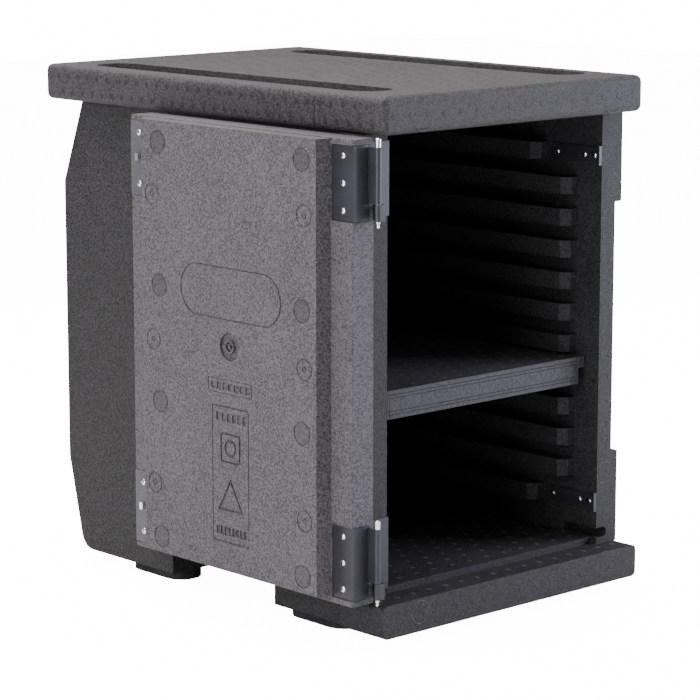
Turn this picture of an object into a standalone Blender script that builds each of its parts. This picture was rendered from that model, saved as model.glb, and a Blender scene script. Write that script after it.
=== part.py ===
"""Front-loading insulated food carrier: foam body and roof, swing-away door, hinges, latches, shelf.

Metres, +Z up. X runs left to right seen from the opening, Y runs from the opening to the back.
The origin is on the floor, under the middle of the whole carrier with its door folded open.
"""
import math

import bmesh
import bpy
from mathutils import Matrix, Vector

# Overall
carrier_width = 0.440
carrier_depth = 0.640
foot_height = 0.016
lip_height = 0.041
opening_height = 0.549
roof_thickness = 0.046
joint_gap = 0.0003
door_gap = 0.0005

# Foam walls
door_recess = 0.034  # from the roof's front to the walls' front face
wall_thickness = 0.026
pad_thickness = 0.0115
pad_depth = 0.041
upper_pad_height = 0.114
lower_pad_height = 0.117
back_overhang = 0.023
back_thickness = 0.024
upper_slope_height = 0.105
upper_slope_inset = 0.030
side_slope_inset = 0.008
lower_slope_height = 0.098
lower_slope_inset = 0.024
bottom_corner_radius = 0.022
floor_step_height = 0.008
floor_step_setback = 0.009

# Rails for trays
rail_count = 12
rail_pitch = 0.040
rail_height = 0.022
rail_depth = 0.022
rail_lead_in = 0.010
rail_front_setback = 0.039
outer_rail_front_setback = 0.091
first_rail_height = 0.0546  # its middle, above the lip's top

# Feet, grooves and hand holds
foot_width = 0.050
foot_length = 0.108
foot_outer_inset = 0.030
front_foot_setback = 0.156  # a foot's middle, from the roof's front
rear_foot_setback = 0.174  # a foot's middle, from the roof's back
groove_clearance = 0.003
groove_depth = 0.017
groove_end_distance = 0.058
hand_hold_foot_gap = 0.003
hand_hold_depth = 0.070
hand_hold_height = 0.026
hand_hold_shift = -0.006
hand_hold_corner_radius = 0.016
drain_slot_width = 0.019
drain_slot_height = 0.012
drain_slot_length = 0.055

# Door
door_free_gap = 0.031  # space left beside the door for fingers
door_hinge_inset = 0.007
door_edge_radius = 0.0010
plug_depth = 0.0205
plug_hinge_root_gap = 0.005  # these four are measured from the opening's sides
plug_hinge_face_gap = 0.008
plug_free_root_gap = 0.017
plug_free_face_gap = 0.036
plug_corner_radius = 0.004
plug_end_gap = 0.0025
door_end_gap = 0.0015
grip_length = 0.120
grip_width = 0.026
grip_depth = 0.016

# Hinges
pin_side_offset = 0.005
pin_front_offset = 0.005
pin_radius = 0.0025
pin_head_radius = 0.0034
pin_head_length = 0.0105
pin_tip_length = 0.008
knuckle_radius = 0.0040
knuckle_bore_radius = 0.0029
plate_thickness = 0.0015
plate_height = 0.087
leaf_seat = 0.002  # how far the door leaf lies under the foam beside it
door_knuckle_share = 0.065  # length of the door's own knuckle
hinge_inset = 0.0525  # hinge middle from the lip's top and from the roof
arm_inset = 0.003

# Latches
latch_inset = 0.0545
strap_height = 0.020
strap_length = 0.081
strap_lip = 0.0032
lip_height_extra = 0.002
latch_plate_height = 0.092
latch_plate_return = 0.012
latch_strap_distance = 0.0072
spindle_radius = 0.0022
cam_half_width = 0.0030
cam_thickness = 0.0025
handle_length = 0.024
handle_width = 0.012
handle_thickness = 0.008
handle_pocket_radius = 0.028
handle_pocket_depth = 0.0095

# Rivets
rivet_head_radius = 0.0040
rivet_head_height = 0.0014
rivet_shank_radius = 0.0016
rivet_length = 0.012
rivet_spacing = 0.0315
strap_rivets = (0.011, 0.028, 0.074)  # behind the walls' front face

# Shelf
shelf_rail = 4
shelf_thickness = 0.035
shelf_flange_thickness = 0.015
shelf_side_gap = 0.003
shelf_front_reach = 0.018  # how far its front strip stands before the rails
shelf_back_gap = 0.004

# Levels and planes that follow from the sizes above
half_width = carrier_width / 2
half_depth = carrier_depth / 2
base_bottom = foot_height
lip_top = foot_height + lip_height
floor_top = lip_top + floor_step_height
roof_bottom = lip_top + opening_height
roof_top = roof_bottom + roof_thickness
roof_front = -half_depth
wall_front = roof_front + door_recess
pad_outer = half_width - door_gap
wall_outer = pad_outer - pad_thickness
opening_half_width = wall_outer - wall_thickness
plug_hinge_root = opening_half_width - plug_hinge_root_gap
plug_hinge_face = opening_half_width - plug_hinge_face_gap
plug_free_root = opening_half_width - plug_free_root_gap
plug_free_face = opening_half_width - plug_free_face_gap
front_foot_y = roof_front + front_foot_setback
rear_foot_y = half_depth - rear_foot_setback
hand_hold_y = (front_foot_y + rear_foot_y) / 2 + hand_hold_shift
hand_hold_length = rear_foot_y - front_foot_y - foot_length - 2 * hand_hold_foot_gap
groove_length = carrier_depth - 2 * groove_end_distance
body_back = half_depth - back_overhang
cavity_back = body_back - back_thickness
rail_tip = opening_half_width - rail_depth
rail_front = wall_front + rail_front_setback
door_thickness = door_recess - door_gap
pin_x = -half_width - pin_side_offset
pin_y = roof_front + pin_front_offset
strap_inner = opening_half_width - joint_gap - plate_thickness
flange_inner = roof_front + door_thickness
leaf_face = flange_inner - leaf_seat
plug_face_y = flange_inner + plug_depth
door_left = -half_width + door_hinge_inset
door_right = half_width - door_free_gap
hinge_levels = {"lower": lip_top + hinge_inset, "upper": roof_bottom - hinge_inset}
latch_levels = {"lower": lip_top + latch_inset, "upper": roof_bottom - latch_inset}
latch_x = strap_inner - latch_strap_distance
open_door_reach = -pin_x + plug_face_y - pin_y
frame_shift = (open_door_reach - half_width) / 2

for old in list(bpy.data.objects):
    bpy.data.objects.remove(old)
for old in list(bpy.data.collections):
    bpy.data.collections.remove(old)

carrier = bpy.data.collections.new("insulated_food_carrier")
cutters = bpy.data.collections.new("cutters")
bpy.context.scene.collection.children.link(carrier)
bpy.context.scene.collection.children.link(cutters)


def material(name, color, roughness, metallic=0.0):
    made = bpy.data.materials.new(name)
    made.use_nodes = True
    shader = made.node_tree.nodes["Principled BSDF"]
    shader.inputs["Base Color"].default_value = (*color, 1)
    shader.inputs["Roughness"].default_value = roughness
    shader.inputs["Metallic"].default_value = metallic
    return made


foam_dark = (0.060, 0.058, 0.062)
foam_grey = (0.075, 0.073, 0.078)
coated_grey = (0.045, 0.047, 0.058)
steel_bright = (0.62, 0.62, 0.64)


def empty(name, location=(0, 0, 0), parent=None):
    made = bpy.data.objects.new(name, None)
    made.location = location
    made.parent = parent
    made.empty_display_size = 0.02
    carrier.objects.link(made)
    return made


carrier_frame = empty("carrier_frame", (frame_shift, 0, 0))


def place(mesh, name, group=carrier, parent=carrier_frame):
    made = bpy.data.objects.new(name, mesh)
    group.objects.link(made)
    if group is cutters:
        made.hide_render = True
        made.display_type = "WIRE"
    made.parent = parent
    return made


def cube_mesh(low, high):
    """A box between two corners."""
    low, high = Vector(low), Vector(high)
    shape = bmesh.new()
    bmesh.ops.create_cube(shape, size=1)
    size, middle = high - low, (low + high) / 2
    sized = Matrix.Translation(middle) @ Matrix.Diagonal((*size, 1))
    bmesh.ops.transform(shape, matrix=sized, verts=shape.verts)
    mesh = bpy.data.meshes.new("box")
    shape.to_mesh(mesh)
    shape.free()
    return mesh


def turn(axis):
    """The rotation that takes an outline in XY, extruded along Z, to an extrusion along the axis."""
    if axis == "Y":
        return Matrix(((1, 0, 0), (0, 0, -1), (0, 1, 0))).to_4x4()
    if axis == "X":
        return Matrix(((0, 0, 1), (1, 0, 0), (0, 1, 0))).to_4x4()
    return Matrix.Identity(4)


def prism_mesh(outline, low, high, axis="Z"):
    """A flat outline extruded from low to high. Along X its points are (y, z), along Y (x, z), along Z (x, y)."""
    curve = bpy.data.curves.new("outline", "CURVE")
    curve.dimensions = "2D"
    curve.fill_mode = "BOTH"
    curve.extrude = (high - low) / 2
    spline = curve.splines.new("POLY")
    spline.points.add(len(outline) - 1)
    for point, (a, b) in zip(spline.points, outline):
        point.co = (a, b, 0, 1)
    spline.use_cyclic_u = True
    guide = bpy.data.objects.new("outline", curve)
    cutters.objects.link(guide)
    mesh = bpy.data.meshes.new_from_object(guide.evaluated_get(bpy.context.evaluated_depsgraph_get()))
    bpy.data.objects.remove(guide)
    offset = {"X": (1, 0, 0), "Y": (0, 1, 0), "Z": (0, 0, 1)}[axis]
    shape = bmesh.new()
    shape.from_mesh(mesh)
    bmesh.ops.remove_doubles(shape, verts=shape.verts, dist=1e-6)
    middle = Matrix.Translation(Vector(offset) * (low + high) / 2)
    bmesh.ops.transform(shape, matrix=middle @ turn(axis), verts=shape.verts)
    bmesh.ops.recalc_face_normals(shape, faces=shape.faces)
    shape.to_mesh(mesh)
    shape.free()
    return mesh


def cylinder_mesh(radius, low, high, axis="Z", center=(0, 0), sides=24):
    """A round bar from low to high along an axis, centred on the two other coordinates."""
    shape = bmesh.new()
    bmesh.ops.create_cone(shape, cap_ends=True, segments=sides, radius1=radius, radius2=radius, depth=high - low)
    a, b = center
    middle = (low + high) / 2
    spot = {"X": (middle, a, b), "Y": (a, middle, b), "Z": (a, b, middle)}[axis]
    bmesh.ops.transform(shape, matrix=Matrix.Translation(spot) @ turn(axis), verts=shape.verts)
    mesh = bpy.data.meshes.new("bar")
    shape.to_mesh(mesh)
    shape.free()
    return mesh


def add_material(made, name, color, roughness, metallic=0.0):
    made.data.materials.clear()
    made.data.materials.append(material(name, color, roughness, metallic))


def combine(made, other, operation, parent=None):
    """Cuts a shape from an object, or joins it to one, with a live Boolean."""
    tool = place(other, made.name + "_" + operation.lower(), cutters, parent or made.parent)
    change = made.modifiers.new(operation.lower(), "BOOLEAN")
    change.operation = operation
    change.solver = "EXACT"
    change.object = tool
    return tool


def cut(made, mesh, parent=None):
    return combine(made, mesh, "DIFFERENCE", parent)


def join(made, mesh, parent=None):
    return combine(made, mesh, "UNION", parent)


def bevel(made, width, segments=3, angle=40):
    change = made.modifiers.new("rounding", "BEVEL")
    change.width = width
    change.segments = segments
    change.limit_method = "ANGLE"
    change.angle_limit = math.radians(angle)
    return change


def arc(cx, cy, radius, start, end, steps):
    """Points on an arc, from one angle to another, in degrees."""
    angles = [math.radians(start + (end - start) * i / steps) for i in range(steps + 1)]
    return [(cx + radius * math.cos(a), cy + radius * math.sin(a)) for a in angles]


def stadium(cx, cy, length, width, steps=8):
    """A slot outline with round ends, long along its second coordinate."""
    r, reach = width / 2, length / 2 - width / 2
    return arc(cx, cy + reach, r, 0, 180, steps) + arc(cx, cy - reach, r, 180, 360, steps)


def rounded_box_outline(x0, x1, y0, y1, radius, steps=4):
    corners = ((x1 - radius, y1 - radius, 0), (x0 + radius, y1 - radius, 90),
               (x0 + radius, y0 + radius, 180), (x1 - radius, y0 + radius, 270))
    return [p for cx, cy, a in corners for p in arc(cx, cy, radius, a, a + 90, steps)]


def mirrored(outline, side):
    return outline if side > 0 else [(-a, b) for a, b in reversed(outline)]


# Body

def rail_middles():
    first = lip_top + first_rail_height
    return [first + i * rail_pitch for i in range(rail_count)]


def body_outline():
    """The foam body seen from its side, as (y, z)."""
    top = roof_bottom - joint_gap
    slope_foot = base_bottom + lower_slope_height + bottom_corner_radius
    r = bottom_corner_radius
    low_back = body_back - lower_slope_inset
    return [
        (wall_front, base_bottom), *arc(low_back - r, base_bottom + r, r, -90, -12, 5),
        (body_back, slope_foot), (body_back, top - upper_slope_height),
        (body_back - upper_slope_inset, top), (wall_front, top),
    ]


def cavity_outline():
    """The tray space seen from the front, with a groove between each two rails, as (x, z)."""
    middles = rail_middles()
    top = roof_bottom + joint_gap
    right = [(opening_half_width, floor_top)]
    for z in middles:
        low, high = z - rail_height / 2, z + rail_height / 2
        right += [(opening_half_width, low), (rail_tip, low), (rail_tip, high), (opening_half_width, high)]
    right.append((opening_half_width, top))
    return right + [(-x, z) for x, z in reversed(right)]


def lead_in_outline(front):
    """A plan view that opens the rails' front ends, as (x, y)."""
    face = rail_tip + rail_lead_in
    back = front + rail_lead_in
    return [(-face, front - 0.001), (face, front - 0.001), (face, front), (rail_tip, back),
            (-rail_tip, back), (-face, front)]


def cut_cavity(body):
    top = roof_bottom + joint_gap
    slope = roof_bottom - upper_slope_height
    middles = rail_middles()
    edge = rail_height / 2 + 0.002
    comb = prism_mesh(cavity_outline(), wall_front - 0.01, cavity_back + 0.02, "Y")
    back_outline = [(wall_front - 0.03, floor_top - 0.02), (cavity_back, floor_top - 0.02),
                    (cavity_back, slope + 0.02), (cavity_back - upper_slope_inset, top + 0.01),
                    (wall_front - 0.03, top + 0.01)]
    limit = prism_mesh(back_outline, -opening_half_width - 0.01, opening_half_width + 0.01, "X")
    cavity = place(comb, "cavity", cutters)
    tool = place(limit, "cavity_limit", cutters)
    keep = cavity.modifiers.new("limit", "BOOLEAN")
    keep.operation = "INTERSECT"
    keep.solver = "EXACT"
    keep.object = tool
    change = body.modifiers.new("cavity", "BOOLEAN")
    change.operation = "DIFFERENCE"
    change.solver = "EXACT"
    change.object = cavity
    step = wall_front + floor_step_setback
    cut(body, cube_mesh((-opening_half_width, wall_front - 0.02, floor_top), (opening_half_width, rail_front, top)))
    cut(body, cube_mesh((-opening_half_width, wall_front - 0.02, lip_top), (opening_half_width, step, top - 0.01)))
    outer_front = wall_front + outer_rail_front_setback
    for z in (middles[0], middles[-1]):
        cut(body, cube_mesh((-opening_half_width, rail_front - 0.001, z - edge),
                            (opening_half_width, outer_front, z + edge)))
        cut(body, prism_mesh(lead_in_outline(outer_front), z - edge, z + edge))
    cut(body, prism_mesh(lead_in_outline(rail_front), floor_top + 0.001, top))


def add_pads(body):
    """Thicker corners behind the hinges and the latches."""
    for side in (-1, 1):
        inner, outer = sorted((side * (wall_outer - 0.003), side * pad_outer))
        for low, high in ((lip_top - 0.001, lip_top + lower_pad_height),
                          (roof_bottom - upper_pad_height, roof_bottom - joint_gap)):
            join(body, cube_mesh((inner, wall_front, low), (outer, wall_front + pad_depth, high)))


def add_feet(body):
    for side in (-1, 1):
        x = side * (half_width - foot_outer_inset - foot_width / 2)
        for y in (front_foot_y, rear_foot_y):
            join(body, prism_mesh(stadium(x, y, foot_length, foot_width), 0, base_bottom + 0.002))


def cut_hand_holds(body):
    y0, y1 = hand_hold_y - hand_hold_length / 2, hand_hold_y + hand_hold_length / 2
    for side in (-1, 1):
        inner, outer = wall_outer - hand_hold_depth, wall_outer + 0.02
        outline = mirrored(rounded_box_outline(inner, outer, y0, y1, hand_hold_corner_radius), side)
        cut(body, prism_mesh(outline, -0.01, base_bottom + hand_hold_height))


def cut_drain_slots(body):
    y0, y1 = wall_front - 0.01, wall_front + drain_slot_length
    z0, z1 = floor_top, floor_top + drain_slot_height
    r = drain_slot_height / 2
    for side in (-1, 1):
        reach = opening_half_width + drain_slot_width - r
        outline = [(opening_half_width - 0.002, z0)] + arc(reach, z0 + r, r, -90, 90, 6)
        outline.append((opening_half_width - 0.002, z1))
        cut(body, prism_mesh(mirrored(outline, side), y0, y1, "Y"))


def slope_sides(body):
    """The side walls lean in a little under the roof, behind the pads."""
    top = roof_bottom + 0.01
    low = roof_bottom - upper_slope_height
    lean = side_slope_inset * (top - low) / upper_slope_height
    outline = [(wall_outer, low), (wall_outer + 0.02, low), (wall_outer + 0.02, top), (wall_outer - lean, top)]
    for side in (-1, 1):
        cut(body, prism_mesh(mirrored(outline, side), wall_front + pad_depth, half_depth, "Y"))


def make_body():
    body = place(prism_mesh(body_outline(), -wall_outer, wall_outer, "X"), "body_shell")
    slope_sides(body)
    lip = prism_mesh(rounded_box_outline(-half_width, half_width, base_bottom, lip_top, 0.007),
                     roof_front, wall_front + pad_depth, "Y")
    join(body, lip)
    add_pads(body)
    add_feet(body)
    cut_cavity(body)
    cut_hand_holds(body)
    cut_drain_slots(body)
    add_material(body, "body_foam", foam_dark, 0.85)
    return body


def make_roof():
    roof = place(cube_mesh((-half_width, roof_front, roof_bottom), (half_width, half_depth, roof_top)), "roof_cover")
    bevel(roof, 0.009, 4)
    x = half_width - foot_outer_inset - foot_width / 2
    for side in (-1, 1):
        outline = stadium(side * x, 0, groove_length, foot_width + 2 * groove_clearance, 10)
        cut(roof, prism_mesh(outline, roof_top - groove_depth, roof_top + 0.01))
    add_material(roof, "roof_foam", foam_grey, 0.85)
    return roof


# Door, modelled shut and then swung open about its pins

door_axis = empty("door_axis", (pin_x, pin_y, 0), carrier_frame)
door_axis.rotation_euler.z = math.radians(90)


def hang(made):
    """Puts a piece that was modelled with the door shut under the door's axis."""
    made.parent = door_axis
    made.data.transform(Matrix.Translation((-pin_x, -pin_y, 0)))
    return made


def door_piece(mesh, name):
    return hang(place(mesh, name))


def door_cut(made, mesh):
    return hang(cut(made, mesh))


def door_join(made, mesh):
    return hang(join(made, mesh))


def plug_outline():
    """The part of the door that fills the opening, in plan, as (x, y)."""
    y0, y1 = flange_inner - 0.002, plug_face_y
    r = plug_corner_radius
    return [(-plug_hinge_root, y0), (plug_free_root, y0), (plug_free_root, flange_inner),
            *arc(plug_free_face - r, y1 - r, r, 30, 90, 3), (-plug_hinge_face, y1),
            (-plug_hinge_root, flange_inner)]


def leaf_recess(level):
    """Space for a door hinge leaf, with its clearance."""
    half = plate_height / 2 + joint_gap
    deep = plate_thickness + joint_gap
    strip = cube_mesh((door_left - 0.01, leaf_face - deep, level - half),
                      (-plug_hinge_root - joint_gap, flange_inner + 0.003, level + half))
    edge = cube_mesh((door_left - 0.01, pin_y + knuckle_radius - plate_thickness - joint_gap, level - half),
                     (door_left + deep, flange_inner + 0.003, level + half))
    return strip, edge


def make_door():
    z0, z1 = lip_top + door_end_gap, roof_bottom - door_end_gap
    door = door_piece(cube_mesh((door_left, roof_front, z0), (door_right, flange_inner, z1)), "door_panel")
    plug = prism_mesh(plug_outline(), floor_top + plug_end_gap, roof_bottom - plug_end_gap)
    bevel(door, door_edge_radius, 2)
    door_join(door, plug)
    for level in hinge_levels.values():
        for mesh in leaf_recess(level):
            door_cut(door, mesh)
        for z in rivet_levels(level, 3):
            x = (door_left - plug_hinge_root) / 2
            door_cut(door, rivet_hole((x, leaf_face, z), "Y"))
    for level in latch_levels.values():
        half = latch_plate_height / 2 + joint_gap
        deep = plate_thickness + joint_gap
        door_cut(door, cube_mesh((plug_free_root + 0.001, flange_inner - deep, level - half),
                                 (door_right + 0.01, flange_inner + 0.003, level + half)))
        door_cut(door, cube_mesh((door_right - deep, flange_inner - deep - latch_plate_return, level - half),
                                 (door_right + 0.01, flange_inner + 0.003, level + half)))
        door_cut(door, cylinder_mesh(handle_pocket_radius, roof_front - 0.01, roof_front + handle_pocket_depth,
                                     "Y", (latch_x, level), 32))
        door_cut(door, cylinder_mesh(spindle_radius + joint_gap, roof_front, flange_inner, "Y", (latch_x, level), 16))
        for z in (level - rivet_spacing, level + rivet_spacing):
            door_cut(door, rivet_hole((latch_x, flange_inner, z), "Y"))
    middle = (lip_top + roof_bottom) / 2
    outline = rounded_box_outline(door_right - grip_width, door_right + 0.02, middle - grip_length / 2,
                                  middle + grip_length / 2, 0.010)
    door_cut(door, prism_mesh(outline, roof_front - 0.01, roof_front + grip_depth, "Y"))
    add_material(door, "door_foam", (0.095, 0.093, 0.100), 0.85)
    return door


# Fasteners

def rivet_levels(level, count):
    return [level + (i - (count - 1) / 2) * rivet_spacing for i in range(count)]


def rivet_hole(face_point, axis, length=rivet_length):
    """The hole that a rivet needs, through the face that its point is on, both ways along the axis."""
    x, y, z = face_point
    middle = {"X": x, "Y": y}[axis]
    center = {"X": (y, z), "Y": (x, z)}[axis]
    reach = length + joint_gap
    return cylinder_mesh(rivet_shank_radius + joint_gap, middle - reach, middle + reach, axis, center, 12)


def rivet_mesh():
    """A domed rivet turned about Z, its head's underside at zero and its shank below."""
    dome = [(rivet_head_radius * math.cos(a), rivet_head_height * math.sin(a))
            for a in (math.radians(90 * i / 4) for i in range(3, -1, -1))]
    profile = [(0, rivet_head_height), *dome, (rivet_shank_radius, 0),
               (rivet_shank_radius, -rivet_length + 0.001), (0, -rivet_length + 0.001)]
    mesh = bpy.data.meshes.new("rivet_profile")
    mesh.from_pydata([(r, 0, z) for r, z in profile], [(i, i + 1) for i in range(len(profile) - 1)], [])
    guide = place(mesh, "rivet_guide", cutters)
    screw = guide.modifiers.new("turn", "SCREW")
    screw.steps = screw.render_steps = 12
    screw.use_merge_vertices = True
    screw.merge_threshold = 0.00005
    screw.use_normal_calculate = True
    turned = bpy.data.meshes.new_from_object(guide.evaluated_get(bpy.context.evaluated_depsgraph_get()))
    bpy.data.objects.remove(guide)
    shape = bmesh.new()
    shape.from_mesh(turned)
    bmesh.ops.remove_doubles(shape, verts=shape.verts, dist=0.00001)
    bmesh.ops.recalc_face_normals(shape, faces=shape.faces)
    shape.to_mesh(turned)
    shape.free()
    turned.shade_smooth()
    turned.set_sharp_from_angle(angle=math.radians(40))
    return turned


def rivet(name, spot, outward):
    """A rivet whose head stands on a plate's face at a point, looking outward."""
    mesh = rivet_mesh()
    outward = Vector(outward)
    turned = outward.to_track_quat("Z", "Y").to_matrix().to_4x4()
    mesh.transform(Matrix.Translation(Vector(spot) + outward * joint_gap) @ turned)
    made = place(mesh, name)
    add_material(made, name + "_steel", steel_bright, 0.25, 1.0)
    return made


# Hinges

def plate(name, mesh):
    made = place(mesh, name)
    add_material(made, name + "_steel", coated_grey, 0.45, 0.3)
    return made


def knuckle(made, low, high, joiner=join, cutter=cut):
    joiner(made, cylinder_mesh(knuckle_radius, low, high, "Z", (pin_x, pin_y), 24))
    cutter(made, cylinder_mesh(knuckle_bore_radius, low - 0.01, high + 0.01, "Z", (pin_x, pin_y), 24))


def knuckle_spans(level):
    """The wall's short knuckle and the door's long one, stacked on one axis."""
    low, high = level - plate_height / 2, level + plate_height / 2 - 0.0025
    split = high - door_knuckle_share
    return (low, split - 0.0005), (split, high)


def make_wall_hinge(tag, level):
    low, high = level - plate_height / 2, level + plate_height / 2
    inner = -strap_inner
    arm_left = -half_width + arm_inset - plate_thickness
    name = "wall_hinge_plate_" + tag
    front = cube_mesh((arm_left, wall_front, low), (inner, wall_front + plate_thickness, high))
    made = plate(name, front)
    strap_level = latch_levels[tag]
    join(made, cube_mesh((inner - plate_thickness, wall_front, strap_level - strap_height / 2),
                         (inner, wall_front + strap_length, strap_level + strap_height / 2)))
    (k0, k1), _ = knuckle_spans(level)
    web_front = pin_y - knuckle_radius
    join(made, cube_mesh((arm_left, web_front, k0), (arm_left + plate_thickness, wall_front + 0.001, k1)))
    join(made, cube_mesh((pin_x, web_front, k0), (arm_left + 0.001, web_front + plate_thickness, k1)))
    knuckle(made, k0, k1)
    for depth in strap_rivets:
        cut(made, rivet_hole((inner, wall_front + depth, strap_level), "X"))


def make_door_hinge(tag, level):
    low, high = level - plate_height / 2, level + plate_height / 2
    name = "door_hinge_leaf_" + tag
    strip = cube_mesh((door_left, leaf_face - plate_thickness, low),
                      (-plug_hinge_root - 2 * joint_gap, leaf_face, high))
    made = hang(plate(name, strip))
    web_back = pin_y + knuckle_radius
    door_join(made, cube_mesh((door_left, web_back - plate_thickness, low),
                              (door_left + plate_thickness, leaf_face, high)))
    _, (k0, k1) = knuckle_spans(level)
    door_join(made, cube_mesh((pin_x, web_back - plate_thickness, k0), (door_left + 0.001, web_back, k1)))
    knuckle(made, k0, k1, door_join, door_cut)
    x = (door_left - plug_hinge_root) / 2
    for number, z in enumerate(rivet_levels(level, 3), 1):
        door_cut(made, rivet_hole((x, leaf_face, z), "Y"))
        hang(rivet(f"door_hinge_rivet_{tag}_{number}", (x, leaf_face, z), (0, 1, 0)))


def make_hinge_pin(tag, level):
    """A headed pin that drops through both knuckles; it lifts out upwards."""
    (k0, _), (_, k1) = knuckle_spans(level)
    shape = bmesh.new()
    mesh = bpy.data.meshes.new("pin_profile")
    head = k1 + joint_gap
    chamfer = 0.001
    profile = [(0, head + pin_head_length), (pin_head_radius - chamfer, head + pin_head_length),
               (pin_head_radius, head + pin_head_length - chamfer), (pin_head_radius, head),
               (pin_radius, head), (pin_radius, k0 - pin_tip_length / 3),
               (pin_radius * 0.6, k0 - pin_tip_length / 2), (pin_radius * 0.7, k0 - pin_tip_length * 0.8),
               (pin_radius * 0.3, k0 - pin_tip_length), (0, k0 - pin_tip_length)]
    mesh.from_pydata([(r, 0, z) for r, z in profile], [(i, i + 1) for i in range(len(profile) - 1)], [])
    guide = place(mesh, "pin_guide", cutters)
    screw = guide.modifiers.new("turn", "SCREW")
    screw.steps = screw.render_steps = 20
    screw.use_merge_vertices = True
    screw.merge_threshold = 0.00005
    turned = bpy.data.meshes.new_from_object(guide.evaluated_get(bpy.context.evaluated_depsgraph_get()))
    bpy.data.objects.remove(guide)
    shape.from_mesh(turned)
    bmesh.ops.remove_doubles(shape, verts=shape.verts, dist=0.00001)
    bmesh.ops.recalc_face_normals(shape, faces=shape.faces)
    shape.to_mesh(turned)
    shape.free()
    turned.shade_smooth()
    turned.set_sharp_from_angle(angle=math.radians(40))
    made = place(turned, "hinge_pin_" + tag)
    made.location = (pin_x, pin_y, 0)
    add_material(made, "hinge_pin_" + tag + "_steel", steel_bright, 0.25, 1.0)


# Latches

def make_keeper(tag, level):
    """The strap on the right wall, with the lip that a latch cam turns behind."""
    name = "keeper_strap_" + tag
    inner = strap_inner
    made = plate(name, cube_mesh((inner, wall_front, level - strap_height / 2),
                                 (inner + plate_thickness, wall_front + strap_length, level + strap_height / 2)))
    half = strap_height / 2 + lip_height_extra
    join(made, cube_mesh((inner - strap_lip, wall_front, level - half),
                         (inner + plate_thickness, wall_front + plate_thickness, level + half)))
    for number, depth in enumerate(strap_rivets, 1):
        cut(made, rivet_hole((inner, wall_front + depth, level), "X"))
        rivet(f"keeper_rivet_{tag}_{number}", (inner, wall_front + depth, level), (-1, 0, 0))
    for number, depth in enumerate(strap_rivets, 1):
        rivet(f"wall_hinge_rivet_{tag}_{number}", (-inner, wall_front + depth, level), (1, 0, 0))


def make_latch(tag, level):
    """A riveted plate, a handle in its pocket, a spindle through the door and a cam inside."""
    half = latch_plate_height / 2
    name = "door_latch_plate_" + tag
    strip = cube_mesh((plug_free_root + 0.0015, flange_inner - plate_thickness, level - half),
                      (door_right, flange_inner, level + half))
    made = hang(plate(name, strip))
    door_join(made, cube_mesh((door_right - plate_thickness, flange_inner - latch_plate_return, level - half),
                              (door_right, flange_inner, level + half)))
    door_cut(made, cylinder_mesh(spindle_radius + joint_gap, flange_inner - 0.01, flange_inner + 0.01,
                                 "Y", (latch_x, level), 16))
    for number, z in enumerate((level - rivet_spacing, level + rivet_spacing), 1):
        door_cut(made, rivet_hole((latch_x, flange_inner, z), "Y"))
        hang(rivet(f"latch_rivet_{tag}_{number}", (latch_x, flange_inner, z), (0, 1, 0)))

    cam_front = wall_front + plate_thickness + door_gap
    cam_back = cam_front + cam_thickness
    floor = roof_front + handle_pocket_depth
    pivot = empty("latch_axis_" + tag, (latch_x - pin_x, 0, level), door_axis)

    def turning(mesh, piece_name):
        piece = place(mesh, piece_name)
        piece.parent = pivot
        piece.data.transform(Matrix.Translation((-latch_x, -pin_y, -level)))
        return piece

    spindle = turning(cylinder_mesh(spindle_radius, floor, cam_front - joint_gap, "Y",
                                    (latch_x, level), 16), "latch_spindle_" + tag)
    add_material(spindle, spindle.name + "_steel", steel_bright, 0.3, 1.0)
    reach = strap_inner - joint_gap * 2 - latch_x
    w = cam_half_width
    outline = [*arc(latch_x, level, w, 180, 360, 8), (latch_x + w, level + reach - w * 0.4),
               (latch_x + w * 0.6, level + reach), (latch_x - w * 0.6, level + reach),
               (latch_x - w, level + reach - w * 0.4)]
    cam = turning(prism_mesh(outline, cam_front, cam_back, "Y"), "latch_cam_" + tag)
    add_material(cam, cam.name + "_steel", steel_bright, 0.3, 1.0)
    r = handle_width / 2
    grip = [*arc(latch_x, level, r, 0, 180, 8), *arc(latch_x, level - handle_length + r * 0.7, r * 0.7, 180, 360, 8)]
    handle = turning(prism_mesh(grip, floor - joint_gap - handle_thickness, floor - joint_gap, "Y"),
                     "latch_handle_" + tag)
    bevel(handle, 0.0012, 2)
    add_material(handle, handle.name + "_plastic", (0.02, 0.02, 0.022), 0.4)


# Shelf

def make_shelf():
    rest = rail_middles()[shelf_rail] + rail_height / 2 + joint_gap
    top = rest + shelf_flange_thickness
    bottom = top - shelf_thickness
    back = cavity_back - shelf_back_gap
    strip_back = rail_front - joint_gap
    front = strip_back + joint_gap - shelf_front_reach
    wide = opening_half_width - shelf_side_gap
    strip_half = rail_tip + rail_lead_in - 0.002
    body_half = rail_tip - 0.0015
    shelf = place(cube_mesh((-body_half, front, bottom), (body_half, back, top)), "divider_shelf")
    join(shelf, cube_mesh((-wide, front, rest), (wide, back - 0.003, top - 0.0001)))
    join(shelf, cube_mesh((-strip_half, front + 0.0001, bottom + 0.0001), (strip_half, strip_back, top - 0.0002)))
    add_material(shelf, "shelf_foam", foam_dark, 0.85)


def recess_body_for_hardware(body):
    """Shallow seats and rivet holes in the foam for the wall plates."""
    for level in hinge_levels.values():
        half = plate_height / 2 + joint_gap
        left = -half_width - 0.01
        cut(body, cube_mesh((left, wall_front - 0.01, level - half),
                            (-opening_half_width + 0.001, wall_front + plate_thickness + joint_gap, level + half)))
    for level in latch_levels.values():
        for side in (-1, 1):
            x = side * opening_half_width
            for depth in strap_rivets:
                cut(body, rivet_hole((x, wall_front + depth, level), "X"))


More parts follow.
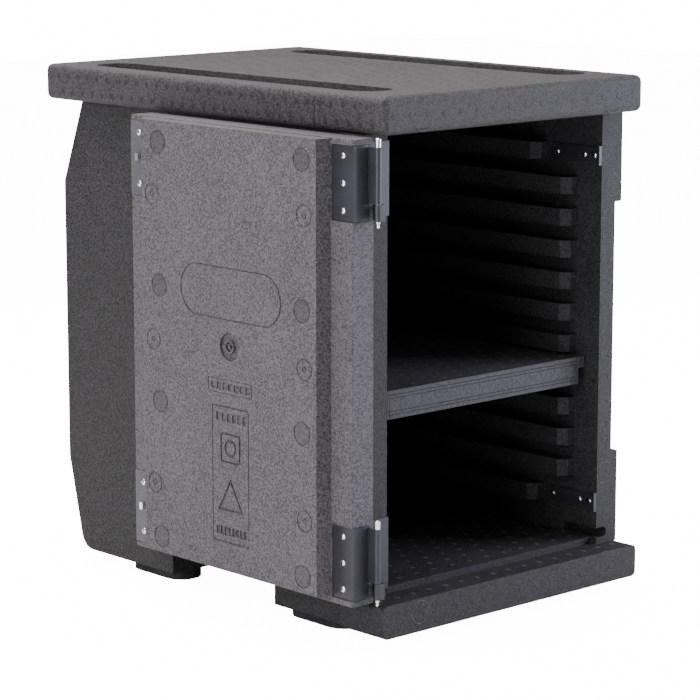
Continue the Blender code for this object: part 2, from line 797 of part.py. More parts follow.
body_shell = make_body()
recess_body_for_hardware(body_shell)
make_roof()
make_door()
for tag, level in hinge_levels.items():
    make_wall_hinge(tag, level)
    make_door_hinge(tag, level)
    make_hinge_pin(tag, level)
for tag, level in latch_levels.items():
    make_keeper(tag, level)
    make_latch(tag, level)
make_shelf()
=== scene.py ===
import math

import bmesh
import bpy
from mathutils import Matrix, Vector


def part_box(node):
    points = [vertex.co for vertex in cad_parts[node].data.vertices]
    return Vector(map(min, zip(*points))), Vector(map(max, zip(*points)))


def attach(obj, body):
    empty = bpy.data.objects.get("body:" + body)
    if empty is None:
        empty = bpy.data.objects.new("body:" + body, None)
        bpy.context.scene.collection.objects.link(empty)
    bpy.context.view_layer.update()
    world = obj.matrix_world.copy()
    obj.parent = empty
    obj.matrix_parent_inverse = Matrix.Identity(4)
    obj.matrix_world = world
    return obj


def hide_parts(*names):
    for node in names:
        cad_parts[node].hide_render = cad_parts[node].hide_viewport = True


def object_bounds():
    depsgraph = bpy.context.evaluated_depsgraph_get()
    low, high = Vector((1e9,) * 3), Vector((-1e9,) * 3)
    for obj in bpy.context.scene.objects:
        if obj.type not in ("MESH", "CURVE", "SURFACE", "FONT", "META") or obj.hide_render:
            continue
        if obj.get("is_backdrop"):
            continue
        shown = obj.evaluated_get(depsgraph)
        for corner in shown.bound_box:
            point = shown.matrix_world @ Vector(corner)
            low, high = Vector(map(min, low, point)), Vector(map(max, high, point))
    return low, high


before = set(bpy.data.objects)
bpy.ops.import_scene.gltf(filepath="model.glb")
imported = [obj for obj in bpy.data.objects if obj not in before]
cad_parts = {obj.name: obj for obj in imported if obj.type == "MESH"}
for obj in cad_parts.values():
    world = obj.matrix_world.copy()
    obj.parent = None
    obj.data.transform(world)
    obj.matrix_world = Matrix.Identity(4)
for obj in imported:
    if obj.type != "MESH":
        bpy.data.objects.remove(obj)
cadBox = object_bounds()
print("frame loaded")

lowCorner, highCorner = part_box("roof_cover")
carrierX = (lowCorner.x + highCorner.x) / 2
halfWidth = (highCorner.x - lowCorner.x) / 2
roofFront, roofBack = lowCorner.y, highCorner.y
roofBottom, roofTop = lowCorner.z, highCorner.z
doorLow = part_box("door_panel")[0]
shelfLow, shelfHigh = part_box("divider_shelf")

skin = 0.0003  # foam skin sits this far inside the frame's surface, so that marks have room


# A shader socket that can be added, multiplied and compared
class Link:
    def __init__(self, shade, socket):
        self.shade = shade
        self.socket = socket

    def maths(self, operation, *others):
        terms = dict(enumerate((self, *others)))
        return self.shade.make("ShaderNodeMath", {"operation": operation}, terms)

    def __add__(self, other):
        return self.maths("ADD", other)

    def __radd__(self, other):
        return self.maths("ADD", other)

    def __mul__(self, other):
        return self.maths("MULTIPLY", other)

    def __rmul__(self, other):
        return self.maths("MULTIPLY", other)

    def __sub__(self, other):
        return self.maths("SUBTRACT", other)

    def __rsub__(self, other):
        return self.maths("MULTIPLY", -1).maths("ADD", other)

    def step(self, low, high):
        ends = {"Value": self, "From Min": low, "From Max": high}
        return self.shade.make("ShaderNodeMapRange", {"interpolation_type": "SMOOTHSTEP"}, ends)

    def mix(self, first, second):
        chosen = {"Factor": self, 6: first, 7: second}
        return self.shade.make("ShaderNodeMix", {"data_type": "RGBA"}, chosen, 2)


# Builds one material's nodes
class Shade:
    def __init__(self, name):
        self.material = bpy.data.materials.new(name)
        self.material.use_nodes = True
        self.tree = self.material.node_tree
        self.surface = self.tree.nodes["Principled BSDF"]
        self.coords = Link(self, self.tree.nodes.new("ShaderNodeTexCoord").outputs["Object"])

    def make(self, kind, settings=None, inputs=None, output=0):
        node = self.tree.nodes.new(kind)
        for key, value in (settings or {}).items():
            setattr(node, key, value)
        for key, value in (inputs or {}).items():
            self.feed(node.inputs[key], value)
        return Link(self, node.outputs[output])

    def feed(self, socket, value):
        if isinstance(value, Link):
            self.tree.links.new(value.socket, socket)
        elif isinstance(value, tuple) and len(value) == 3 and socket.type == "RGBA":
            socket.default_value = (*value, 1)
        else:
            socket.default_value = value

    def set(self, **inputs):
        for key, value in inputs.items():
            self.feed(self.surface.inputs[key.replace("_", " ")], value)
        return self.material

    def noise(self, scale, detail=3.0, coords=None):
        sizes = {"Vector": coords or self.coords, "Scale": scale, "Detail": detail}
        return self.make("ShaderNodeTexNoise", {}, sizes)

    def bump(self, height, strength, distance):
        return self.make("ShaderNodeBump", {}, {"Height": height, "Strength": strength, "Distance": distance})


foam = {
    "beadsPerMetre": 620.0,
    "pitsPerMetre": 900.0,
    "beadContrast": 0.42,
    "patchContrast": 0.10,
    "pitShade": 0.55,
    "roughness": 0.66,
    "specular": 0.22,
    "bumpStrength": 0.6,
    "bumpDistance": 0.0006,
}


# Moulded bead foam: cells of slightly different grey, pressed together, with a sheen on their crowns, and
# painted shade in the pits between them
def foamMaterial(name, colour, roughness=foam["roughness"], bump=foam["bumpStrength"], spread=0.55):
    shade = Shade(name)
    beadSettings = {"Vector": shade.coords, "Scale": foam["beadsPerMetre"]}
    crown = shade.make("ShaderNodeTexVoronoi", {}, beadSettings, 0)
    tone = shade.make("ShaderNodeTexVoronoi", {}, beadSettings, 1)
    tone = shade.make("ShaderNodeSeparateColor", {}, {0: tone})
    patches = shade.noise(14.0)
    dust = shade.noise(2400.0, 1.0)
    pits = 1 - shade.noise(foam["pitsPerMetre"], 1.0).step(0.22, 0.32)
    level = tone * foam["beadContrast"] + patches * foam["patchContrast"] * 2 + dust * 0.40
    # The pits are painted darker as well as bumped in: painted shade in the small hollows between beads
    level = level.step(0.18, 0.82) * (1 - pits * foam["pitShade"])
    dark = tuple(c * (1 - spread) for c in colour)
    light = tuple(c * (1 + spread) for c in colour)
    height = 1 - crown * 1.2 + dust * 0.35 - pits * 0.6
    return shade.set(
        Specular_IOR_Level=foam["specular"],
        Base_Color=level.mix(dark, light),
        Roughness=patches * 0.2 + tone * 0.12 + (roughness - 0.16),
        Normal=shade.bump(height, bump, foam["bumpDistance"]),
    )


# Pressed steel: a fine drawn grain and faint handling marks
def steelMaterial(name, colour, roughness, metallic, grain=260.0):
    shade = Shade(name)
    fine = shade.noise(grain, 4.0)
    broad = shade.noise(30.0, 2.0)
    dark = tuple(c * 0.8 for c in colour)
    light = tuple(min(1, c * 1.15) for c in colour)
    return shade.set(
        Base_Color=(fine * 0.5 + broad * 0.5).step(0.3, 0.7).mix(dark, light),
        Roughness=fine * 0.12 + broad * 0.1 + (roughness - 0.11),
        Metallic=metallic,
        Normal=shade.bump(fine, 0.08, 0.0002),
    )


# The roof, body, door and shelf are one foam: their four colours are painted light and painted shade, each
# set lighter or darker to match how bright that piece looks under the lamps
look = {
    "roofPaintedShadingColour": (0.0325, 0.0305, 0.0325),
    "bodyPaintedShadingColour": (0.0200, 0.0190, 0.0205),
    "doorPaintedShadingColour": (0.066, 0.062, 0.069),
    "shelfPaintedShadingColour": (0.036, 0.034, 0.039),
    "markColour": (0.060, 0.057, 0.062),
    "ventColour": (0.020, 0.019, 0.021),
    "doorMarkColour": (0.046, 0.044, 0.049),
    # Near-black for the parting line and the shelf's front lines, and painted shade in the rivet hollows
    "seamAndShadeColour": (0.006, 0.006, 0.006),
    "latchPlateColour": (0.066, 0.064, 0.076),
    "platedColour": (0.026, 0.026, 0.034),
    "brightColour": (0.75, 0.75, 0.76),
    "handleColour": (0.02, 0.02, 0.022),
}
roofFoam = foamMaterial("roofFoam", look["roofPaintedShadingColour"], spread=0.75)
bodyFoam = foamMaterial("bodyFoam", look["bodyPaintedShadingColour"], spread=0.85)
doorFoam = foamMaterial("doorFoam", look["doorPaintedShadingColour"], spread=0.65)
shelfFoam = foamMaterial("shelfFoam", look["shelfPaintedShadingColour"])
markFoam = foamMaterial("markFoam", look["markColour"], 0.5, 0.2)
seamAndShadeFoam = foamMaterial("seamAndShadeFoam", look["seamAndShadeColour"], 0.8, 0.2)
ventFoam = foamMaterial("ventFoam", look["ventColour"], 0.6, 0.3)
doorMarkFoam = foamMaterial("doorMarkFoam", look["doorMarkColour"], 0.5, 0.2)
platedSteel = steelMaterial("platedSteel", look["platedColour"], 0.42, 0.35)
latchPlateSteel = steelMaterial("latchPlateSteel", look["latchPlateColour"], 0.5, 0.2)
brightSteel = steelMaterial("brightSteel", look["brightColour"], 0.22, 1.0)
handlePlastic = steelMaterial("handlePlastic", look["handleColour"], 0.38, 0.0)
print("materials made")


def addObject(mesh, name):
    made = bpy.data.objects.new(name, mesh)
    bpy.context.scene.collection.objects.link(made)
    return made


# Replaces an object's modifiers with the mesh they make
def bake(made):
    mesh = bpy.data.meshes.new_from_object(made.evaluated_get(bpy.context.evaluated_depsgraph_get()))
    made.modifiers.clear()
    made.data = mesh
    return made


def boxShape(shape, low, high):
    low, high = Vector(low), Vector(high)
    size, middle = high - low, (low + high) / 2
    place = Matrix.Translation(middle) @ Matrix.Diagonal((*size, 1))
    bmesh.ops.create_cube(shape, size=1, matrix=place)


skinning = {
    "looseGap": 0.00002,  # the frame's loose triangles are joined within this
    "bevelGap": 0.00001,
    "flatAngle": math.radians(1),
    "sharpAngle": math.radians(50),
    "bevelSteps": 2,
}


# A copy of a foam node with softened edges, slightly inside the frame's surface
def skinPiece(node, name, edge, cutter=None, angle=30):
    made = addObject(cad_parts[node].data.copy(), name)
    made.data.materials.clear()
    shape = bmesh.new()
    shape.from_mesh(made.data)
    bmesh.ops.remove_doubles(shape, verts=shape.verts, dist=skinning["looseGap"])
    bmesh.ops.dissolve_limit(shape, angle_limit=skinning["flatAngle"], verts=shape.verts, edges=shape.edges)
    shape.to_mesh(made.data)
    shape.free()
    if cutter:
        change = made.modifiers.new("marks", "BOOLEAN")
        change.operation = "DIFFERENCE"
        change.solver = "EXACT"
        change.object = cutter
        change.use_self = True
    soften = made.modifiers.new("edges", "BEVEL")
    soften.width = edge
    soften.segments = skinning["bevelSteps"]
    soften.limit_method = "ANGLE"
    soften.angle_limit = math.radians(angle)
    soften.harden_normals = False
    bake(made)
    if cutter:
        bpy.data.objects.remove(cutter)
    shape = bmesh.new()
    shape.from_mesh(made.data)
    bmesh.ops.remove_doubles(shape, verts=shape.verts, dist=skinning["bevelGap"])
    shape.normal_update()
    for vert in shape.verts:
        vert.co -= vert.normal * skin
    shape.to_mesh(made.data)
    shape.free()
    made.data.shade_smooth()
    made.data.set_sharp_from_angle(angle=skinning["sharpAngle"])
    level = made.modifiers.new("flat faces", "WEIGHTED_NORMAL")
    level.keep_sharp = True
    return bake(made)


# A geometry tree with named inputs, and a function that adds its nodes
def geometryTree(name, inputs):
    tree = bpy.data.node_groups.new(name, "GeometryNodeTree")
    tree.interface.new_socket("Geometry", in_out="OUTPUT", socket_type="NodeSocketGeometry")
    for label, kind in inputs.items():
        tree.interface.new_socket(label, in_out="INPUT", socket_type="NodeSocket" + kind)
    source = tree.nodes.new("NodeGroupInput").outputs

    def add(kind, links=None, output=0, **settings):
        node = tree.nodes.new(kind)
        for key, value in settings.items():
            setattr(node, key, value)
        for key, value in (links or {}).items():
            if isinstance(value, bpy.types.NodeSocket):
                tree.links.new(value, node.inputs[key])
            else:
                node.inputs[key].default_value = value
        return node.outputs[output]

    return tree, source, add


# Marks on a grid: low discs, or thin rings, that lie on a plane with a given normal
def markTree(ringShaped):
    inputs = {"Columns": "Int", "Rows": "Int", "Start": "Vector", "Column Step": "Vector",
              "Row Step": "Vector", "Stagger": "Float", "Normal": "Vector", "Radius": "Float",
              "Height": "Float", "Scatter": "Float", "Seed": "Int", "Material": "Material"}
    tree, source, add = geometryTree("ringMarks" if ringShaped else "discMarks", inputs)
    index = add("GeometryNodeInputIndex")
    row = add("ShaderNodeMath", {0: index, 1: source["Columns"]}, operation="DIVIDE")
    row = add("ShaderNodeMath", {0: row}, operation="FLOOR")
    before = add("ShaderNodeMath", {0: row, 1: source["Columns"]}, operation="MULTIPLY")
    column = add("ShaderNodeMath", {0: index, 1: before}, operation="SUBTRACT")
    odd = add("ShaderNodeMath", {0: row, 1: 2.0}, operation="MODULO")
    slide = add("ShaderNodeMath", {0: odd, 1: source["Stagger"]}, operation="MULTIPLY")
    column = add("ShaderNodeMath", {0: column, 1: slide}, operation="ADD")
    across = add("ShaderNodeVectorMath", {0: source["Column Step"], "Scale": column}, operation="SCALE")
    along = add("ShaderNodeVectorMath", {0: source["Row Step"], "Scale": row}, operation="SCALE")
    spot = add("ShaderNodeVectorMath", {0: across, 1: along}, operation="ADD")
    spot = add("ShaderNodeVectorMath", {0: spot, 1: source["Start"]}, operation="ADD")
    count = add("ShaderNodeMath", {0: source["Columns"], 1: source["Rows"]}, operation="MULTIPLY")
    points = add("GeometryNodePoints", {"Count": count, "Position": spot})
    size = add("ShaderNodeMath", {0: 1.0, 1: source["Scatter"]}, operation="SUBTRACT")
    most = add("ShaderNodeMath", {0: 1.0, 1: source["Scatter"]}, operation="ADD")
    scale = add("FunctionNodeRandomValue", {2: size, 3: most, "Seed": source["Seed"]}, 1, data_type="FLOAT")
    turn = add("FunctionNodeAlignRotationToVector", {"Vector": source["Normal"]}, axis="Z")
    if ringShaped:
        circle = add("GeometryNodeCurvePrimitiveCircle", {"Resolution": 28, "Radius": source["Radius"]})
        profile = add("GeometryNodeCurvePrimitiveCircle", {"Resolution": 5, "Radius": source["Height"]})
        mark = add("GeometryNodeCurveToMesh", {"Curve": circle, "Profile Curve": profile})
    else:
        top = add("ShaderNodeMath", {0: source["Radius"], 1: 0.84}, operation="MULTIPLY")
        mark = add("GeometryNodeMeshCone", {"Vertices": 12, "Radius Top": top,
                                            "Radius Bottom": source["Radius"], "Depth": source["Height"]})
    placed = add("GeometryNodeInstanceOnPoints",
                 {"Points": points, "Instance": mark, "Rotation": turn, "Scale": scale})
    solid = add("GeometryNodeRealizeInstances", {"Geometry": placed})
    coloured = add("GeometryNodeSetMaterial", {"Geometry": solid, "Material": source["Material"]})
    tree.links.new(coloured, tree.nodes.new("NodeGroupOutput").inputs[0])
    return tree


discTree = markTree(False)
ringTree = markTree(True)


# Runs a mark tree once and keeps its mesh
def growMarks(tree, name, values):
    made = addObject(bpy.data.meshes.new(name), name)
    change = made.modifiers.new("marks", "NODES")
    change.node_group = tree
    for item in tree.interface.items_tree:
        if item.in_out == "INPUT" and item.name in values:
            change[item.identifier] = values[item.name]
    return bake(made)


def discs(name, start, columnStep, columns, rowStep=(0.0, 0.0, 0.0), rows=1, normal=(0.0, 0.0, 1.0),
          radius=0.0038, material=ventFoam, stagger=0.5, scatter=0.05, seed=3, sink=skin):
    start = Vector(start) - Vector(normal) * sink
    values = {"Columns": columns, "Rows": rows, "Start": start, "Column Step": columnStep,
              "Row Step": rowStep, "Stagger": stagger, "Normal": normal, "Radius": radius,
              "Height": skin, "Scatter": scatter, "Seed": seed, "Material": material}
    return growMarks(discTree, name, values)


def rings(name, start, columnStep=(0.0, 0.0, 0.0), columns=1, rowStep=(0.0, 0.0, 0.0), rows=1,
          normal=(0.0, 0.0, 1.0), radius=0.014, material=markFoam, thick=0.0004):
    start = Vector(start) - Vector(normal) * thick
    values = {"Columns": columns, "Rows": rows, "Start": start, "Column Step": columnStep,
              "Row Step": rowStep, "Stagger": 0.0, "Normal": normal, "Radius": radius,
              "Height": thick, "Scatter": 0.0, "Seed": 1, "Material": material}
    return growMarks(ringTree, name, values)


# One object from several meshes, each keeping its material
def merge(name, pieces):
    shape = bmesh.new()
    materials = []
    for piece in pieces:
        first = len(shape.faces)
        shape.from_mesh(piece.data)
        shape.faces.ensure_lookup_table()
        for face in shape.faces[first:]:
            found = piece.data.materials[face.material_index]
            if found not in materials:
                materials.append(found)
            face.material_index = materials.index(found)
        bpy.data.objects.remove(piece)
    mesh = bpy.data.meshes.new(name)
    shape.to_mesh(mesh)
    shape.free()
    for found in materials:
        mesh.materials.append(found)
    return addObject(mesh, name)


# Thin lines that lie on a surface, such as a mould's parting line
def strips(name, boxes, material):
    shape = bmesh.new()
    for low, high in boxes:
        boxShape(shape, low, high)
    mesh = bpy.data.meshes.new(name)
    shape.to_mesh(mesh)
    shape.free()
    mesh.materials.append(material)
    return addObject(mesh, name)


# A place given from the carrier's own middle
def onCarrier(x, y, z):
    return (carrierX + x, y, z)


front, back, left, right = (0.0, -1.0, 0.0), (0.0, 1.0, 0.0), (-1.0, 0.0, 0.0), (1.0, 0.0, 0.0)

roof = {"edge": 0.0012, "frontPitch": 0.027, "sidePitch": 0.020, "topPitch": 0.026}
roofPiece = skinPiece("roof_cover", "roof", roof["edge"])
roofPiece.data.materials.append(roofFoam)
roofMid = roofBottom + 0.022
sideRows = {"columns": 30, "rowStep": (0.0, 0.0, 0.020), "rows": 2}
sideStep = (0.0, roof["sidePitch"], 0.0)
sideStart = roofFront + 0.02
frontStep = (roof["frontPitch"], 0.0, 0.0)
partingLine = [(onCarrier(-halfWidth, -0.2015, roofBottom + 0.002),
                onCarrier(-halfWidth + 0.001, -0.2007, roofTop - 0.010))]
roofMarks = merge("roofMarks", [
    discs("front", onCarrier(-0.205, roofFront, roofMid), frontStep, 16, normal=front),
    discs("left", onCarrier(-halfWidth, sideStart, roofMid - 0.010), sideStep, **sideRows, normal=left),
    discs("right", onCarrier(halfWidth, sideStart, roofMid - 0.010), sideStep, **sideRows, normal=right),
    discs("top", onCarrier(-0.110, roofFront + 0.025, roofTop), (roof["topPitch"], 0.0, 0.0), 9,
          (0.0, roof["topPitch"], 0.0), 23),
    discs("back", onCarrier(-0.205, roofBack, roofMid), frontStep, 16, normal=back),
    strips("parting", partingLine, seamAndShadeFoam),
    rings("leftRing", onCarrier(-0.159, roofFront, roofMid - 0.005), normal=front),
    rings("rightRing", onCarrier(0.164, roofFront, roofMid - 0.006), normal=front),
])
for piece in (roofPiece, roofMarks):
    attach(piece, "carrier")
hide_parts("roof_cover")
print("roof made")

body = {"edge": 0.0014, "lipPitch": 0.027, "floorPitch": 0.030, "rowPitch": 0.030}
bodyPiece = skinPiece("body_shell", "body", body["edge"])
bodyPiece.data.materials.append(bodyFoam)
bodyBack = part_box("body_shell")[1].y
lipTop = 0.057
floorTop = 0.065
wallFront = roofFront + 0.034
wallOuter = 0.208
rowUp = (0.0, 0.0, body["rowPitch"])
lipStep = (body["lipPitch"], 0.0, 0.0)
bodyMarks = merge("bodyMarks", [
    discs("lipTop", onCarrier(-0.205, roofFront + 0.022, lipTop), lipStep, 16, material=markFoam),
    discs("floor", onCarrier(-0.165, wallFront + 0.030, floorTop), (body["floorPitch"], 0.0, 0.0), 12,
          (0.0, 0.024, 0.0), 22, material=markFoam),
    discs("wallFront", onCarrier(0.188, wallFront, 0.150), (0.0135, 0.0, 0.0), 2, rowUp, 12, front,
          radius=0.0034, stagger=0.0),
    discs("wallSide", onCarrier(wallOuter, wallFront + 0.060, 0.090), (0.0, body["rowPitch"], 0.0), 16,
          rowUp, 13, right),
    discs("back", onCarrier(-0.180, bodyBack, 0.165), (body["rowPitch"], 0.0, 0.0), 12, rowUp, 11, back),
    discs("lipFront", onCarrier(-0.205, roofFront, 0.036), lipStep, 16, normal=front),
    rings("wallRings", onCarrier(0.203, wallFront, 0.514), (-0.006, 0.0, -0.366), 2, normal=front),
    rings("lipRings", onCarrier(-0.159, roofFront, 0.040), (0.322, 0.0, 0.003), 2, normal=front),
])
for piece in (bodyPiece, bodyMarks):
    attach(piece, "carrier")
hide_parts("body_shell")
print("body made")

shelf = {"edge": 0.0022, "pitch": 0.026, "lineInset": 0.018, "lineHeight": 0.0007}
shelfPiece = skinPiece("divider_shelf", "shelf", shelf["edge"])
shelfPiece.data.materials.append(shelfFoam)
lineLeft, lineRight = shelfLow.x + shelf["lineInset"], shelfHigh.x - shelf["lineInset"]
lineLevels = (shelfLow.z + 0.005, shelfLow.z + 0.009, shelfHigh.z - 0.010, shelfHigh.z - 0.006)
frontLines = [((lineLeft, shelfLow.y + 0.0001, z), (lineRight, shelfLow.y + 0.001, z + shelf["lineHeight"]))
              for z in lineLevels]
shelfMarks = merge("shelfMarks", [
    discs("top", (shelfLow.x + 0.020, shelfLow.y + 0.015, shelfHigh.z), (shelf["pitch"], 0.0, 0.0), 13,
          (0.0, 0.024, 0.0), 21, material=markFoam),
    strips("lines", frontLines, seamAndShadeFoam),
])
for piece in (shelfPiece, shelfMarks):
    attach(piece, "shelf")
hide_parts("divider_shelf")
print("shelf made")

# The door is worked in its folded-open place, where its inner face looks left
door = {
    "edge": 0.0016,
    "ringRows": (0.578, 0.403, 0.259, 0.088),
    "ringColumns": (-0.239, 0.022),
    "ringRadius": 0.0135,
    "nubRows": (0.514, 0.335, 0.155),
    "nubColumns": (-0.243, 0.034),
    "nubRadius": 0.0125,
    "nubMiddle": 0.003,
    "stadiumPlace": (-0.111, 0.407),
    "stadiumRadius": 0.031,
    "stadiumLength": 0.120,
    "portPlace": (-0.109, 0.3435),
    "portRadius": 0.0125,
    "portMiddle": 0.0042,
    "grooveWidth": 0.0011,
    "grooveDepth": 0.0008,
}
plugFace = doorLow.x


# A closed groove in the door's inner face along an outline of (y, z) points
def loopGroove(shape, outline, depth=door["grooveDepth"], width=door["grooveWidth"]):
    middle = Vector((sum(p[0] for p in outline), sum(p[1] for p in outline))) / len(outline)
    grown = []
    for side in (-1, 1):
        for x in (plugFace - 0.002, plugFace + depth):
            ring = []
            for y, z in outline:
                away = (Vector((y, z)) - middle).normalized() * width / 2 * side
                ring.append(shape.verts.new((x, y + away.x, z + away.y)))
            grown.append(ring)
    inFront, inDeep, outFront, outDeep = grown
    count = len(outline)
    for i in range(count):
        j = (i + 1) % count
        for first, second in ((inFront, inDeep), (inDeep, outDeep), (outDeep, outFront), (outFront, inFront)):
            shape.faces.new((first[i], first[j], second[j], second[i]))


# A flat-bottomed recess in the door's inner face
def plateCut(shape, outline, depth):
    front = [shape.verts.new((plugFace - 0.002, y, z)) for y, z in outline]
    deep = [shape.verts.new((plugFace + depth, y, z)) for y, z in outline]
    shape.faces.new(front)
    shape.faces.new(list(reversed(deep)))
    for i in range(len(outline)):
        j = (i + 1) % len(outline)
        shape.faces.new((front[i], deep[i], deep[j], front[j]))


# A circle of (y, z) points, drawn out sideways into a stadium where a length is given
def roundOutline(y, z, radius, steps=32, length=0.0):
    points = []
    for i in range(steps):
        a = 2 * math.pi * (i + 0.5) / steps
        side = length / 2 if math.cos(a) > 0 else -length / 2
        points.append((y + side + radius * math.cos(a), z + radius * math.sin(a)))
    return points


def cornerOutline(y0, y1, z0, z1, radius=0.003, steps=4):
    points = []
    for cy, cz, start in ((y1 - radius, z1 - radius, 0), (y0 + radius, z1 - radius, 90),
                          (y0 + radius, z0 + radius, 180), (y1 - radius, z0 + radius, 270)):
        for i in range(steps + 1):
            a = math.radians(start + 90 * i / steps)
            points.append((cy + radius * math.cos(a), cz + radius * math.sin(a)))
    return points


label = {
    "tagFrame": (-0.149, -0.070, 0.286, 0.303),
    "tagBars": 7,
    "tagStart": -0.146,
    "tagPitch": 0.0105,
    "tagBar": 0.0075,
    "tagLevels": (0.2905, 0.2985),
    "tagDepth": 0.0016,
    "signFrame": (-0.143, -0.077, 0.104, 0.270),
    "frameCorner": (0.002, 2),
    "barRows": ((0.252, 6), (0.1125, 8)),
    "barRowStart": -0.139,
    "barRowWidth": 0.058,
    "barShare": 0.62,
    "barHeight": 0.010,
    "barCorner": (0.001, 1),
    "circle": (-0.110, 0.220),
    "circleRadius": 0.0095,
    "squareHalf": 0.017,
    "triangle": (-0.110, 0.156),
    "triangleReach": 0.024,
    "signDepth": 0.0018,
    "signWidth": 0.0022,
}


# Plain bars and simple outlines where the door carries its moulded label
def labelMarks(shape):
    low, high = label["tagLevels"]
    for i in range(label["tagBars"]):
        start = label["tagStart"] + label["tagPitch"] * i
        plateCut(shape, cornerOutline(start, start + label["tagBar"], low, high, *label["barCorner"]),
                 label["tagDepth"])
    loopGroove(shape, cornerOutline(*label["tagFrame"], *label["frameCorner"]), 0.0009, 0.0010)
    loopGroove(shape, cornerOutline(*label["signFrame"], *label["frameCorner"]), 0.0012, 0.0012)
    for z, count in label["barRows"]:
        pitch = label["barRowWidth"] / count
        for i in range(count):
            start = label["barRowStart"] + pitch * i
            outline = cornerOutline(start, start + pitch * label["barShare"], z, z + label["barHeight"],
                                    *label["barCorner"])
            plateCut(shape, outline, label["signDepth"])
    y, z = label["circle"]
    squareHalf = label["squareHalf"]
    square = cornerOutline(y - squareHalf, y + squareHalf, z - squareHalf, z + squareHalf, 0.003, 2)
    loopGroove(shape, square, label["signDepth"], label["signWidth"])
    loopGroove(shape, roundOutline(y, z, label["circleRadius"], 20), label["signDepth"], label["signWidth"])
    y, z = label["triangle"]
    triangle = [(y + label["triangleReach"] * math.sin(a), z + label["triangleReach"] * math.cos(a))
                for a in (2 * math.pi * i / 3 for i in range(3))]
    loopGroove(shape, triangle, label["signDepth"], label["signWidth"] * 2)


def doorCutter():
    shape = bmesh.new()
    for z in door["ringRows"]:
        for y in door["ringColumns"]:
            loopGroove(shape, roundOutline(y, z, door["ringRadius"]))
    for z in door["nubRows"]:
        for y in door["nubColumns"]:
            loopGroove(shape, roundOutline(y, z, door["nubRadius"]))
            loopGroove(shape, roundOutline(y, z, door["nubMiddle"], 16))
    stadium = roundOutline(*door["stadiumPlace"], door["stadiumRadius"], 48, door["stadiumLength"])
    loopGroove(shape, stadium, 0.0012, 0.0014)
    loopGroove(shape, roundOutline(*door["portPlace"], door["portRadius"]), 0.0040, 0.0085)
    loopGroove(shape, roundOutline(*door["portPlace"], door["portMiddle"], 20), 0.0030, 0.0034)
    labelMarks(shape)
    bmesh.ops.recalc_face_normals(shape, faces=shape.faces)
    mesh = bpy.data.meshes.new("doorCutter")
    shape.to_mesh(mesh)
    shape.free()
    cutter = addObject(mesh, "doorCutter")
    cutter.hide_render = True
    return cutter


doorPiece = skinPiece("door_panel", "door", door["edge"], doorCutter(), 34)
doorPiece.data.materials.append(doorFoam)
doorMarks = merge("doorMarks", [
    discs("ring", (plugFace, y, z), (0.0, 0.0, 0.0), 1, normal=left, material=doorMarkFoam,
          radius=door["ringRadius"] - 0.001)
    for y in door["ringColumns"] for z in door["ringRows"]
])
for piece in (doorPiece, doorMarks):
    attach(piece, "door")
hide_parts("door_panel")
print("door made")

# Steel and plastic pieces keep their frame shapes
for name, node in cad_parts.items():
    if node.hide_render:
        continue
    if "rivet" in name or "pin" in name or "spindle" in name or "cam" in name:
        finish = brightSteel
    elif "handle" in name:
        finish = handlePlastic
    elif "latch_plate" in name:
        finish = latchPlateSteel
    else:
        finish = platedSteel
    node.data.materials.clear()
    node.data.materials.append(finish)


# A near-black disc on each rivet's head: painted shade standing in for the hollow at its middle
def rivetHollowShades(body, words):
    pieces = []
    for name, node in sorted(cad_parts.items()):
        if "rivet" not in name or not any(word in name for word in words):
            continue
        low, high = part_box(name)
        middle = (low + high) / 2
        side = 1.0 if "wall_hinge" in name else -1.0
        face = high.x if side > 0 else low.x
        pieces.append(discs(name, (face, middle.y, middle.z), (0.0, 0.0, 0.0), 1, normal=(side, 0.0, 0.0),
                            material=seamAndShadeFoam, radius=0.0011, sink=skin - 0.0001))
    made = merge(body + "RivetHollows", pieces)
    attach(made, body)


rivetHollowShades("door", ("door_hinge", "latch"))
rivetHollowShades("carrier", ("keeper", "wall_hinge"))
print("steel finished")

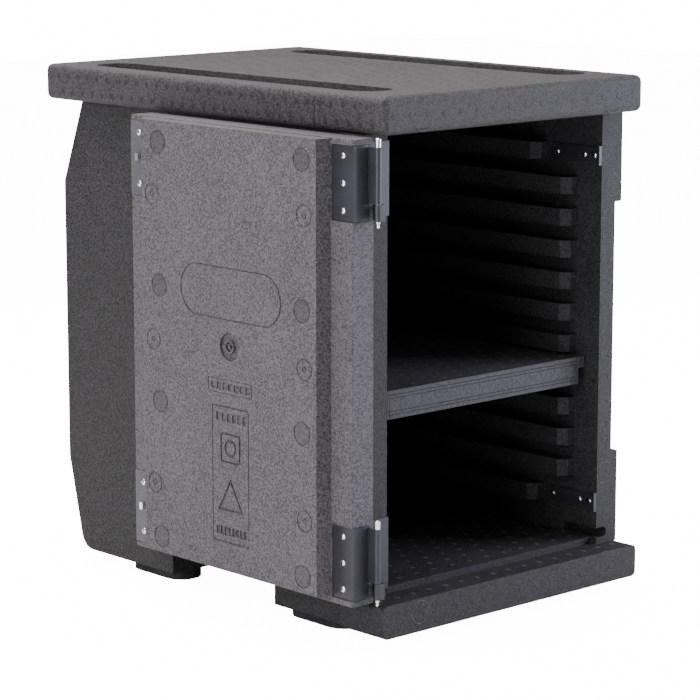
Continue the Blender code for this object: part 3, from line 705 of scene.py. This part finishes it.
room = {
    "floorSize": 14.0,
    "floorColour": (0.86, 0.86, 0.865),
    "skyColour": (1.0, 1.0, 1.0),
    "skyStrength": 0.35,
    "backdropStrength": 16.0,
    "floorGlow": 14.0,
}
floorMesh = bpy.data.meshes.new("floor")
half = room["floorSize"] / 2
floorCorners = [(-half, -half, 0), (half, -half, 0), (half, half, 0), (-half, half, 0)]
floorMesh.from_pydata(floorCorners, [], [(0, 1, 2, 3)])
floor = addObject(floorMesh, "floor")
floorShade = Shade("floorPaint")
seenFloor = floorShade.make("ShaderNodeLightPath", {}, {}, 0)
floorMesh.materials.append(floorShade.set(
    Base_Color=room["floorColour"], Roughness=0.9, Emission_Color=(1.0, 1.0, 1.0),
    Emission_Strength=seenFloor * room["floorGlow"]))
floor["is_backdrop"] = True

roomWorld = bpy.data.worlds.new("room")
bpy.context.scene.world = roomWorld
roomWorld.use_nodes = True
sky = roomWorld.node_tree.nodes["Background"].inputs
sky["Color"].default_value = (*room["skyColour"], 1)
seen = roomWorld.node_tree.nodes.new("ShaderNodeLightPath").outputs["Is Camera Ray"]
brightness = roomWorld.node_tree.nodes.new("ShaderNodeMapRange")
brightness.inputs["To Min"].default_value = room["skyStrength"]
brightness.inputs["To Max"].default_value = room["backdropStrength"]
roomWorld.node_tree.links.new(seen, brightness.inputs["Value"])
roomWorld.node_tree.links.new(brightness.outputs["Result"], sky["Strength"])


# Turns a light or a camera towards a place
def aimAt(made, place, target):
    made.location = place
    made.rotation_euler = (Vector(target) - Vector(place)).to_track_quat("-Z", "Y").to_euler()
    bpy.context.scene.collection.objects.link(made)


lightTarget = (0.0, 0.0, 0.3)
softboxes = {
    "overhead": {"place": (-0.2, 0.5, 2.6), "size": (2.4, 2.4), "power": 185, "colour": (1.0, 0.98, 0.95)},
    "left": {"place": (-2.8, -0.5, 1.2), "size": (1.8, 2.2), "power": 92, "colour": (1.0, 1.0, 1.0)},
    "right": {"place": (2.6, -1.7, 1.1), "size": (1.6, 1.8), "power": 178, "colour": (0.83, 0.85, 1.0)},
}
for name, softbox in softboxes.items():
    light = bpy.data.lights.new(name, "AREA")
    light.shape = "RECTANGLE"
    light.size, light.size_y = softbox["size"]
    light.energy = softbox["power"]
    light.color = softbox["colour"]
    aimAt(bpy.data.objects.new(name, light), softbox["place"], lightTarget)

camera = {"place": (-2.378, -2.636, 0.948), "aim": (-0.023, -0.078, 0.308), "lens": 145.4}
eye = bpy.data.cameras.new("camera")
eye.lens = camera["lens"]
eye.sensor_width = 36.0
viewer = bpy.data.objects.new("camera", eye)
aimAt(viewer, camera["place"], camera["aim"])
bpy.context.scene.camera = viewer
print("room made")


def plain(value):
    if isinstance(value, (int, float)):
        return float(value)
    return [plain(v) for v in value]


{"cad": plain(cadBox), "visual": plain(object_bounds())}
